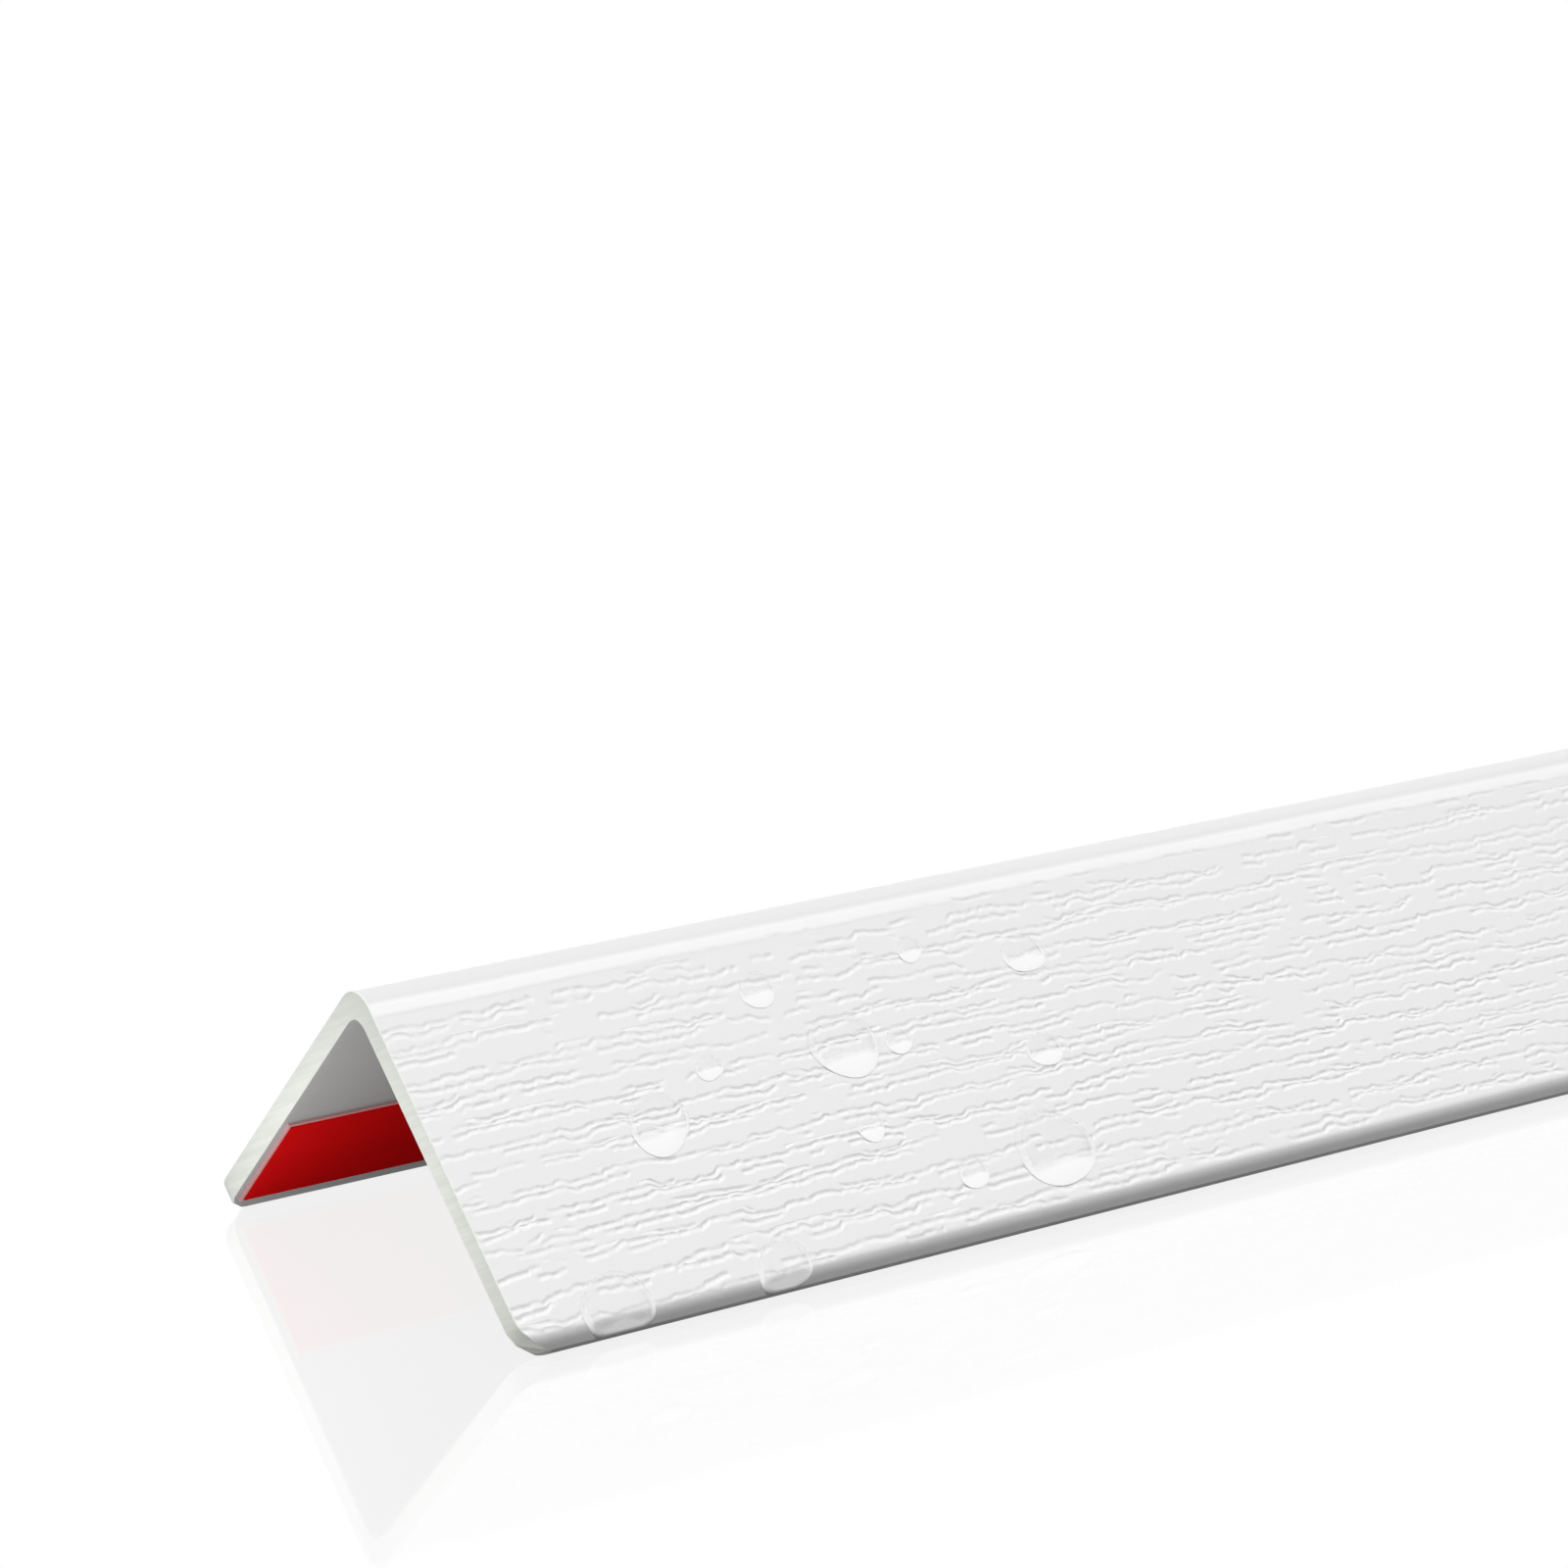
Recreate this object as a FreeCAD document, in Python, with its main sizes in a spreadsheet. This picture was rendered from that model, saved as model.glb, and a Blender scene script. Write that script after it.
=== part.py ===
"""Corner guard moulding: an extruded PVC angle with one taped leg.

The guard is modelled as it stands unheld on a level floor, on the free edges of its
two legs with the ridge on top, like a long tent. The stock runs along X, the ridge is
above the X axis, Z = 0 is the floor, and X = 0 is the middle of the length. The bare
leg comes down on the -Y side and the taped leg on the +Y side.

The section is drawn as the maker draws it, as an angle with its legs square to the
axes: the outer corner is at the sketch's origin, the taped leg runs along +Y with its
outer face on Z = 0, and the bare leg runs along -Z with its outer face on Y = 0. Every
sub-part is made in that frame and gets the same placement, which turns the angle by
half a right angle on to its free edges.
"""
import FreeCAD, Part
import math
import os
import Sketcher

# Driving dimensions in millimetres, each written once and kept in the sheet "Sizes".
SIZES = {
    # The extruded angle
    "stock_length": 600.0,       # length the moulding is sold in
    "leg_width": 30.0,           # width of each leg, over the outer corner
    "wall": 1.7,                 # thickness of both legs
    "ridge_radius": 2.4,         # outer corner between the legs
    "hollow_radius": 1.6,        # inner corner, fuller than the ridge leaves room for
    "edge_roll": 1.2,            # outer face rolled over to the free edge
    "edge_break": 0.25,          # inner arris of the free edge, which stands on the floor
    "punch_radius": 2.4,         # corners punched round at both ends of each leg
    # The strip of double-sided tape and its peel-off film
    "tape_width": 11.0,
    "tape_depth": 0.2,
    "tape_from_edge": 1.7,       # bare strip between the tape and the free edge
    "tape_corner_clear": 0.5,    # from the tape's square corner back to the punched one
    "liner_depth": 0.1,
    "liner_inset": 0.25,         # rim of bare adhesive all round the film
    # Waste that the punch takes beyond the stock, so that no faces coincide
    "punch_overrun": 2.0,
}

doc = FreeCAD.newDocument("corner_guard")
sheet = doc.addObject("Spreadsheet::Sheet", "Sizes")
for row, (alias, value) in enumerate(SIZES.items(), start=1):
    sheet.set(f"A{row}", alias)
    sheet.set(f"B{row}", str(value))
    sheet.setAlias(f"B{row}", alias)
doc.recompute()


def size(alias):
    """The value that the sheet holds under this alias, in millimetres."""
    return float(sheet.get(alias))


def stand_placement():
    """Turns the angle on to its free edges, with the lowest arris on Z = 0.

    The inner arris of each free edge points straight down. Its small radius lifts the
    lowest line off the sharp corner by (root 2 - 1) times that radius.
    """
    turn = FreeCAD.Rotation(FreeCAD.Vector(1, 0, 0), -45)
    sharp_drop = (size("leg_width") + size("wall")) / math.sqrt(2)
    arris_lift = (math.sqrt(2) - 1) * size("edge_break")
    return FreeCAD.Placement(FreeCAD.Vector(0, 0, sharp_drop - arris_lift), turn)


def new_body(label):
    """An empty body with the guard's placement; its label names the exported file."""
    body = doc.addObject("PartDesign::Body", label)
    body.Label = label
    body.Placement = stand_placement()
    return body


def sketch_on(body, role, name):
    """A sketch flat on one of the body's own origin planes."""
    plane = next(item for item in body.Origin.OriginFeatures if item.Role == role)
    sketch = body.newObject("Sketcher::SketchObject", name)
    sketch.AttachmentSupport = [(plane, "")]
    sketch.MapMode = "FlatFace"
    return sketch


def point(across, up):
    """A point of a sketch."""
    return FreeCAD.Vector(across, up, 0)


def arc(centre, radius, start_degrees, end_degrees):
    """A sketch arc, counter-clockwise from its first to its second angle."""
    circle = Part.Circle(centre, FreeCAD.Vector(0, 0, 1), radius)
    return Part.ArcOfCircle(circle, math.radians(start_degrees), math.radians(end_degrees))


def dimension(sketch, kind, name, formula, *geometry):
    """Adds a named dimension and ties it to the sheet with a formula."""
    value = sketch.evalExpression(formula)
    sketch.addConstraint(Sketcher.Constraint(kind, *geometry, float(value)))
    index = sketch.ConstraintCount - 1
    sketch.renameConstraint(index, name)
    sketch.setExpression(f"Constraints.{name}", formula)


# Which point of a sketch element a constraint takes, and the sketch's own origin.
START, END, CENTRE = range(1, 4)
ORIGIN = (-1, 1)


def draw_angle_section(sketch):
    """The closed outline of the angle, drawn clockwise round from the ridge.

    Twelve elements follow each other: six straight faces, and between them the ridge,
    the hollow, and the roll and the break of each leg's free edge.
    """
    leg, wall = size("leg_width"), size("wall")
    ridge, hollow = size("ridge_radius"), size("hollow_radius")
    roll, ease = size("edge_roll"), size("edge_break")
    inner = wall + hollow

    elements = [
        Part.LineSegment(point(ridge, 0), point(leg - roll, 0)),
        arc(point(leg - roll, -roll), roll, 0, 90),
        Part.LineSegment(point(leg, -roll), point(leg, ease - wall)),
        arc(point(leg - ease, ease - wall), ease, 270, 360),
        Part.LineSegment(point(leg - ease, -wall), point(inner, -wall)),
        arc(point(inner, -inner), hollow, 90, 180),
        Part.LineSegment(point(wall, -inner), point(wall, ease - leg)),
        arc(point(wall - ease, ease - leg), ease, 270, 360),
        Part.LineSegment(point(wall - ease, -leg), point(roll, -leg)),
        arc(point(roll, roll - leg), roll, 180, 270),
        Part.LineSegment(point(0, roll - leg), point(0, -ridge)),
        arc(point(ridge, -ridge), ridge, 90, 180),
    ]
    sketch.addGeometry(elements, False)
    (taped_outer, taped_roll, taped_tip, taped_break, taped_inner, hollow_arc,
     bare_inner, bare_break, bare_tip, bare_roll, bare_outer, ridge_arc) = range(12)

    # Each face runs smoothly into the rounding beside it.
    smooth_joints = [
        (taped_outer, END, taped_roll, END),
        (taped_roll, START, taped_tip, START),
        (taped_tip, END, taped_break, END),
        (taped_break, START, taped_inner, START),
        (taped_inner, END, hollow_arc, START),
        (hollow_arc, END, bare_inner, START),
        (bare_inner, END, bare_break, END),
        (bare_break, START, bare_tip, START),
        (bare_tip, END, bare_roll, END),
        (bare_roll, START, bare_outer, START),
        (bare_outer, END, ridge_arc, END),
        (ridge_arc, START, taped_outer, START),
    ]
    for joint in smooth_joints:
        sketch.addConstraint(Sketcher.Constraint("Tangent", *joint))
    for face in (taped_outer, taped_inner, bare_tip):
        sketch.addConstraint(Sketcher.Constraint("Horizontal", face))
    for face in (bare_outer, bare_inner, taped_tip):
        sketch.addConstraint(Sketcher.Constraint("Vertical", face))

    # The outer faces lie on the sketch's own axes, and the two free edges are alike.
    across_axis, up_axis = -1, -2
    sketch.addConstraint([
        Sketcher.Constraint("PointOnObject", taped_outer, START, across_axis),
        Sketcher.Constraint("PointOnObject", bare_outer, START, up_axis),
        Sketcher.Constraint("Equal", taped_roll, bare_roll),
        Sketcher.Constraint("Equal", taped_break, bare_break),
    ])
    dimension(sketch, "DistanceX", "TapedLeg", "Sizes.leg_width", *ORIGIN, taped_tip, START)
    dimension(sketch, "DistanceY", "BareLeg", "Sizes.leg_width", bare_tip, START, *ORIGIN)
    dimension(sketch, "DistanceY", "TapedWall", "Sizes.wall", taped_inner, START, *ORIGIN)
    dimension(sketch, "DistanceX", "BareWall", "Sizes.wall", *ORIGIN, bare_inner, START)
    dimension(sketch, "Radius", "Ridge", "Sizes.ridge_radius", ridge_arc)
    dimension(sketch, "Radius", "Hollow", "Sizes.hollow_radius", hollow_arc)
    dimension(sketch, "Radius", "EdgeRoll", "Sizes.edge_roll", taped_roll)
    dimension(sketch, "Radius", "EdgeBreak", "Sizes.edge_break", taped_break)


def draw_corner_waste(sketch, leg_side):
    """The waste that the punch takes off one corner of a leg, at the +X end.

    leg_side is 1 where the leg runs up the sketch from its origin, and -1 where it runs
    down. The rounded side faces the stock, and the square side lies beyond it.
    """
    half, leg = size("stock_length") / 2, size("leg_width")
    radius, over = size("punch_radius"), size("punch_overrun")
    near, far = leg_side * (leg - radius), leg_side * leg
    beyond = leg_side * (leg + over)
    first, last = (0, 90) if leg_side > 0 else (270, 360)
    on_end, on_edge = (START, END) if leg_side > 0 else (END, START)

    sketch.addGeometry([
        arc(point(half - radius, near), radius, first, last),
        Part.LineSegment(point(half - radius, far), point(half - radius, beyond)),
        Part.LineSegment(point(half - radius, beyond), point(half + over, beyond)),
        Part.LineSegment(point(half + over, beyond), point(half + over, near)),
        Part.LineSegment(point(half + over, near), point(half, near)),
    ], False)
    corner, edge_side, outer_edge, outer_end, end_side = range(5)

    sketch.addConstraint([
        Sketcher.Constraint("Coincident", corner, on_edge, edge_side, START),
        Sketcher.Constraint("Coincident", edge_side, END, outer_edge, START),
        Sketcher.Constraint("Coincident", outer_edge, END, outer_end, START),
        Sketcher.Constraint("Coincident", outer_end, END, end_side, START),
        Sketcher.Constraint("Coincident", end_side, END, corner, on_end),
        Sketcher.Constraint("Vertical", edge_side),
        Sketcher.Constraint("Horizontal", outer_edge),
        Sketcher.Constraint("Vertical", outer_end),
        Sketcher.Constraint("Horizontal", end_side),
        Sketcher.Constraint("Vertical", corner, on_edge, corner, CENTRE),
        Sketcher.Constraint("Horizontal", corner, on_end, corner, CENTRE),
    ])
    up_to_centre = (*ORIGIN, corner, CENTRE) if leg_side > 0 else (corner, CENTRE, *ORIGIN)
    past_edge = (corner, on_edge, outer_edge, START)
    if leg_side < 0:
        past_edge = (outer_edge, START, corner, on_edge)
    dimension(sketch, "Radius", "PunchRadius", "Sizes.punch_radius", corner)
    dimension(sketch, "DistanceX", "FromMiddle",
              "Sizes.stock_length / 2 - Sizes.punch_radius", *ORIGIN, corner, CENTRE)
    dimension(sketch, "DistanceY", "FromRidge",
              "Sizes.leg_width - Sizes.punch_radius", *up_to_centre)
    dimension(sketch, "DistanceX", "PastCut", "Sizes.punch_overrun",
              corner, on_end, outer_end, END)
    dimension(sketch, "DistanceY", "PastEdge", "Sizes.punch_overrun", *past_edge)


def extrude_along_stock(body, sketch, name, length_formula):
    """Runs a section along X, as far to each side of the middle."""
    pad = body.newObject("PartDesign::Pad", name)
    pad.Profile = sketch
    pad.SideType = "Symmetric"
    pad.setExpression("Length", length_formula)
    sketch.Visibility = False
    return pad


def punch_corner(body, plane_role, leg_side, name):
    """Cuts one rounded corner through a leg, from its outer face inwards."""
    sketch = sketch_on(body, plane_role, name + "Waste")
    draw_corner_waste(sketch, leg_side)
    pocket = body.newObject("PartDesign::Pocket", name)
    pocket.Profile = sketch
    pocket.setExpression("Length", "Sizes.wall + Sizes.punch_overrun")
    sketch.Visibility = False
    return pocket


def make_corner_profile():
    """The extruded angle, with its four leg corners punched round."""
    body = new_body("corner_profile")
    section = sketch_on(body, "YZ_Plane", "AngleSection")
    draw_angle_section(section)
    pad = extrude_along_stock(body, section, "Extrusion", "Sizes.stock_length")
    doc.recompute()
    full_volume = pad.Shape.Volume

    taped = punch_corner(body, "XY_Plane", 1, "TapedLegPunch")
    doc.recompute()
    one_corner = full_volume - taped.Shape.Volume
    bare = punch_corner(body, "XZ_Plane", -1, "BareLegPunch")
    doc.recompute()
    two_corners = full_volume - bare.Shape.Volume
    if not (one_corner > 0 and math.isclose(two_corners, 2 * one_corner, rel_tol=1e-3)):
        raise RuntimeError("a punched corner has taken no waste off its leg")

    other_end = body.newObject("PartDesign::Mirrored", "OtherEnd")
    middle = next(item for item in body.Origin.OriginFeatures if item.Role == "YZ_Plane")
    other_end.Originals = [taped, bare]
    other_end.MirrorPlane = (middle, [""])
    body.Tip = other_end
    doc.recompute()
    four_corners = full_volume - other_end.Shape.Volume
    if not math.isclose(four_corners, 4 * one_corner, rel_tol=1e-3):
        raise RuntimeError("the punched corners are not repeated at the other end")
    return body


# The tape's square corners have to clear the leg's punched ones, which curve in from the
# cut by this much where the tape's outer edge meets them.
CORNER_INSET = (
    "(Sizes.punch_radius - sqrt(Sizes.punch_radius * Sizes.punch_radius"
    " - max(Sizes.punch_radius - Sizes.tape_from_edge; 0)"
    " * max(Sizes.punch_radius - Sizes.tape_from_edge; 0)))"
)
TAPE_LENGTH = f"Sizes.stock_length - 2 * ({CORNER_INSET} + Sizes.tape_corner_clear)"


def make_strip(label, depth_name, below_formula, inset_formula):
    """A flat strip laid along the inside of the taped leg.

    below_formula says how far its back lies under the leg's outer face, and
    inset_formula how far its four edges lie inside those of the tape.
    """
    body = new_body(label)
    section = sketch_on(body, "YZ_Plane", "StripSection")
    inset = float(section.evalExpression(inset_formula))
    outer = size("leg_width") - size("tape_from_edge") - inset
    inner = outer - size("tape_width") + 2 * inset
    back = -float(section.evalExpression(below_formula))
    front = back - size(depth_name)
    corners = [point(inner, back), point(outer, back), point(outer, front), point(inner, front)]
    sides = [Part.LineSegment(corners[i], corners[(i + 1) % 4]) for i in range(4)]
    section.addGeometry(sides, False)
    back_face, outer_edge, front_face, inner_edge = range(4)
    for side in range(4):
        section.addConstraint(
            Sketcher.Constraint("Coincident", side, END, (side + 1) % 4, START))
    section.addConstraint([
        Sketcher.Constraint("Horizontal", back_face),
        Sketcher.Constraint("Horizontal", front_face),
        Sketcher.Constraint("Vertical", outer_edge),
        Sketcher.Constraint("Vertical", inner_edge),
    ])
    dimension(section, "DistanceX", "OuterEdge",
              f"Sizes.leg_width - Sizes.tape_from_edge - {inset_formula}",
              *ORIGIN, back_face, END)
    dimension(section, "DistanceX", "Width", f"Sizes.tape_width - 2 * {inset_formula}",
              back_face, START, back_face, END)
    dimension(section, "DistanceY", "Below", below_formula, back_face, START, *ORIGIN)
    dimension(section, "DistanceY", "Depth", f"Sizes.{depth_name}",
              front_face, END, back_face, START)
    extrude_along_stock(body, section, "Strip", f"{TAPE_LENGTH} - 2 * {inset_formula}")
    doc.recompute()
    return body


def check_document():
    """Stops if anything in the document has failed to build."""
    for item in doc.Objects:
        faults = [state for state in item.State if state in ("Invalid", "Error")]
        if faults:
            raise RuntimeError(f"{item.Name} is {faults[0]}")
    for sketch in doc.findObjects("Sketcher::SketchObject"):
        if sketch.solve() != 0:
            raise RuntimeError(f"{sketch.Name} has constraints that can't be met")


def export(body):
    """Writes one sub-part to parts/ under its label."""
    shape = body.Shape
    if shape.isNull() or not shape.isValid() or len(shape.Solids) != 1:
        raise RuntimeError(f"{body.Label} is not one sound solid")
    shape.exportStep(f"parts/{body.Label}.step")
    box = shape.optimalBoundingBox(False, False)
    print(f"{body.Label}: volume {shape.Volume:.1f} mm3, "
          f"x {box.XMin:.2f} to {box.XMax:.2f}, y {box.YMin:.2f} to {box.YMax:.2f}, "
          f"z {box.ZMin:.2f} to {box.ZMax:.2f}")


bodies = [
    make_corner_profile(),
    make_strip("adhesive_tape", "tape_depth", "Sizes.wall", "0"),
    make_strip("release_liner", "liner_depth", "Sizes.wall + Sizes.tape_depth",
               "Sizes.liner_inset"),
]
doc.recompute()
check_document()
os.makedirs("parts", exist_ok=True)
for part_body in bodies:
    export(part_body)
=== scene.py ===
"""Corner guard moulding: the finish of the embossed PVC angle, its tape and its film.

Lengths are in millimetres until a mesh or a light is made, and MM turns them to metres.
The stock runs along X with its ridge above the X axis, and stands on Z = 0.
"""
import math
from functools import partial
import bmesh
import bpy
from mathutils import Matrix, Vector


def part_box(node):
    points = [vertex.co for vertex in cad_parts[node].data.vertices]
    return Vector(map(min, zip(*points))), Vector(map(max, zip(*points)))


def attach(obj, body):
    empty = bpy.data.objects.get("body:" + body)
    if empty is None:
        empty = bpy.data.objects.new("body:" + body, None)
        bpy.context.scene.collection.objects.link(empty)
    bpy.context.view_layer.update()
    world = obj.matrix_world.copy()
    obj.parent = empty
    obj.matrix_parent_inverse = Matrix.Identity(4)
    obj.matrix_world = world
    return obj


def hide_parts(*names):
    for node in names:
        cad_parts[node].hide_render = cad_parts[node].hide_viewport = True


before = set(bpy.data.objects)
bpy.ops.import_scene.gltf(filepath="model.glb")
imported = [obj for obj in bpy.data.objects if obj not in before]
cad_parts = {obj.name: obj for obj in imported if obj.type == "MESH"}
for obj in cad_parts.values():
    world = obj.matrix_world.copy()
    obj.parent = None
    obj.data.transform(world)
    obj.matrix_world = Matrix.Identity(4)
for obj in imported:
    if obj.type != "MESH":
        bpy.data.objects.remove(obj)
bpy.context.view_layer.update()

MM = 0.001

# The angle's own sizes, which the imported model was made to.
LEG_WIDTH = 30.0
WALL = 1.7
RIDGE_RADIUS = 2.4
HOLLOW_RADIUS = 1.6
EDGE_ROLL = 1.2
EDGE_BREAK = 0.25
PUNCH_RADIUS = 2.4

GUARD_LOW, GUARD_HIGH = (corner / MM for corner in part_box("corner_profile"))
HALF_LENGTH = GUARD_HIGH.x
ROOT2 = math.sqrt(2)
APEX_HEIGHT = (LEG_WIDTH + WALL) / ROOT2 - (ROOT2 - 1) * EDGE_BREAK   # of the sharp ridge

# The embossing roller's pattern. OVER is the length along the stock in which a value
# changes, and ACROSS is the width down the leg.
GRAIN_DEPTH = 0.108
GRAIN_SEED = 4.0
LAYERS_APART = 7.3       # keeps the random values of one place apart
TRACKS_APART = 5.37      # and those of neighbouring tracks
TRACK_PITCH = 2.0        # from one track of grain to the next
DRIFT, DRIFT_OVER, DRIFT_ACROSS = 2.4, 90.0, 16.0    # neighbouring tracks drift together,
SWAY, SWAY_OVER = 0.8, 18.0                          # each sways by itself,
WOBBLE, WOBBLE_OVER = 0.1, 2.0                       # trembles
STEP, STEP_OVER = 0.26, 5.0                          # and steps aside
GAP_LEAST, GAP_MOST, GAP_OVER = 0.16, 0.36, 6.0      # from a track's middle to its grooves
# A groove's place, in gaps from its track's middle, its layer, and how much of it is missing
GROOVES = ((1.0, 5, 0.37), (-1.0, 7, 0.43), (2.8, 9, 0.55))
NICK, NICK_OVER = 0.14, 1.2                          # a groove steps aside by itself,
BREAK_OVER = 5.0                                     # breaks off
BEAD_OVER = 0.6                                      # and is deeper in one place than the next
GROOVE_ABOVE = 0.30      # a groove's steep wall, on the side of the ridge
GROOVE_BELOW = 0.37      # and its slack one
WEAR_OVER, WEAR_ACROSS = 9.0, 3.0                    # the roller's worn patches
FIELD_SHARE = 0.25       # of the depth: how far the roller presses the plain face
CROWN_SHARE = 0.5        # and the ridge's crown
BORDER = 3.1             # from the sharp ridge: below it the face is pressed
BORDER_WIDTH = 1.2       # and above it a line is left standing, up to the crown
BORDER_SWAY, BORDER_OVER = 0.5, 12.0
SPARED_END = (0.15, 0.6)         # from the cut end: between the two the grain comes in
EMBOSSED_TO = 0.25       # under the outer faces, round their edges
FADE_LENGTH = 6.0        # over which the grain as geometry gives way to the bump

# How closely the skin of the guard is divided
NEAR_LENGTH = 118.0      # the end that is seen from close by
NEAR_ROWS, FAR_ROWS, RIM_ROWS = 258, 20, 2
BARE_COLUMNS, TAPED_COLUMNS, INNER_COLUMNS = 175, 62, 27
BEND_STEPS = 7
RIM = 0.12               # arris left by the saw, rubbed round
SKIN_IN = 0.01           # keeps the skin, and water on it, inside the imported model's box
SHARP_ANGLE = math.radians(35)   # faces that meet at more than this are shaded apart

# Drops of water on the bare leg: down the leg from the ridge, in from the cut end, across.
DROPS = (
    (28.6, 8.1, 5.7), (28.6, 22.0, 4.5), (24.7, 48.3, 6.6), (15.9, 17.7, 5.0),
    (13.1, 35.4, 5.6), (7.3, 30.6, 3.0), (8.8, 54.3, 3.6), (6.6, 44.8, 2.2),
    (13.7, 40.0, 2.2), (19.8, 34.2, 2.4), (16.9, 51.8, 3.0), (25.1, 40.6, 2.6),
    (12.5, 23.7, 2.2),
)
SMALLEST_DROP = min(width for down, from_end, width in DROPS)
DROP_HEIGHT = 0.09       # of a drop's width
DROP_SAG = 0.35          # its lower side is that much thicker, and its upper side thinner
DROP_SLANT = math.radians(35)    # a drop is longer on the way along and up the leg
DROP_STRETCH = 1.06
DROP_WAVES = ((0.05, 2, 3), (0.04, 3, 5))    # in its outline: size, number, turn by drop
DROP_FILLED = 0.06       # a large drop gathers light at its rim alone, a small one all over
DROP_FOOT = 0.05         # under the grain
DROP_RINGS, DROP_SPOKES = 9, 40
WATER_EDGE = LEG_WIDTH + 0.55    # no water hangs lower, measured down the leg and its roll

# The camera, from the photograph's perspective
IMAGE_SIDE = 1600
FOCAL_PIXELS = 4986.44
SENSOR_WIDTH = 36.0
CAMERA_FROM_CUT_END = Vector((-166.063, -282.631, 114.706))
CAMERA_AZIMUTH = 35.690
CAMERA_ELEVATION = 13.594
CAMERA_ROLL = 0.729      # degrees, right side down

# The studio. A sun has the way to it, its strength and the degrees that it spreads over.
SUNS = (("overhead", Vector((0.0, -0.12, 0.98)), 2.68, 50.0),
        ("left", Vector((-1.0, -0.1, 0.08)), 0.4, 40.0))
END_LAMP_WIDTH, END_LAMP_HEIGHT = 16, 3
END_LAMP_AWAY, END_LAMP_ASIDE, END_LAMP_UP = 28, 2, 2
END_LAMP_WATTS = 0.01
SKY_LIGHT = 0.22         # of the white that the sky shows
FLOOR_SIDE = 12000
FLOOR_POLISHED, FLOOR_WHITENED = 0.95, 0.85

EASED = {"interpolation_type": "SMOOTHSTEP"}


def linear(hex_colour):
    """A written sRGB colour as the linear one that Blender's sockets take."""
    parts = [int(hex_colour[i:i + 2], 16) / 255 for i in (1, 3, 5)]
    return (*[p / 12.92 if p <= 0.04045 else ((p + 0.055) / 1.055) ** 2.4 for p in parts], 1.0)


def add(tree, kind, *wires, **settings):
    """Adds a node to a tree, sets it up and wires its inputs.

    The wires go to its inputs in order. A keyword with a small letter is a setting of the
    node, or the list of items that it is given, and one with a capital is an input by its
    name, with _ for a space. A wire is a plain value, another node, which gives its first
    output in use, or one of a node's outputs.
    """
    node = tree.nodes.new(kind)
    for name, value in settings.items():
        if name.endswith("_items"):
            for item in value:
                getattr(node, name).new(*item)
        elif name[0].islower():
            setattr(node, name, value)
    named = [(n.replace("_", " "), v) for n, v in settings.items() if n[0].isupper()]
    in_use = [socket for socket in node.inputs if socket.enabled]
    for place, value in [*enumerate(wires), *named]:
        socket = (in_use[place] if isinstance(place, int)
                  else next(s for s in in_use if s.name == place))
        if isinstance(value, bpy.types.Node):
            value = next(s for s in value.outputs if s.enabled)
        if isinstance(value, bpy.types.NodeSocket):
            tree.links.new(value, socket)
        elif value is not None:
            socket.default_value = value
    return node


def uneven(tree, along, across, length, width, layer, detail=0.0):
    """A smooth random value round 0.5, which changes over that length and that width in mm.

    Each layer has values of its own.
    """
    place = add(tree, "ShaderNodeCombineXYZ",
                add(tree, "ShaderNodeMath", along, 1 / length, operation="MULTIPLY"),
                add(tree, "ShaderNodeMath", across, 1 / width, operation="MULTIPLY"),
                GRAIN_SEED + LAYERS_APART * layer)
    return add(tree, "ShaderNodeTexNoise", place, Scale=1.0, Detail=detail)


def swayed(tree, line, value, reach):
    """A line's place in mm, moved by a random value round 0.5 as far as the reach in all."""
    off = add(tree, "ShaderNodeMath", value, 0.5, operation="SUBTRACT")
    return add(tree, "ShaderNodeMath", off, reach, line, operation="MULTIPLY_ADD")


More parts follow.
